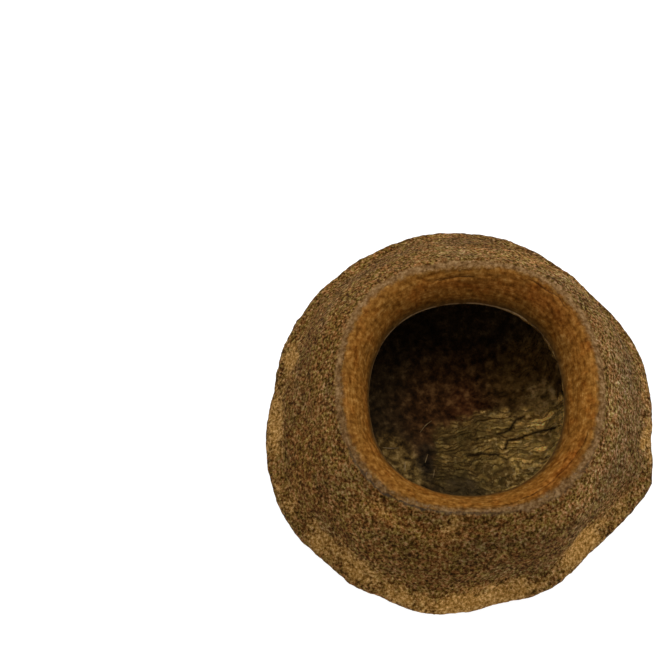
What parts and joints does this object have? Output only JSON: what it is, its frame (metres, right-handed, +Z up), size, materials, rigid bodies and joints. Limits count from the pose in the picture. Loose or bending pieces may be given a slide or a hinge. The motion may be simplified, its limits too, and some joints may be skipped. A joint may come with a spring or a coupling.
{
  "type": "sapucaia pod",
  "caption": "Empty woody urn-shaped seed pod with a knobbly ring round its widest part, a smooth lip, a sloping seat where its lid sat and a wide hollow.",
  "frame": {"origin": "on the surface that the pod stands on, under the middle of the pod's bounding box", "axes": "+Z up through the mouth, -Z out of the flat spot it stands on, +X towards the right of the picture, +Y away from its viewer"},
  "size_m": [0.156, 0.1594, 0.0972],
  "materials": {
    "bark": "rough brown bark with a smooth lip and a darker hollow"
  },
  "bodies": {
    "root": {"pod": "bark"}
  },
  "joints": []
}
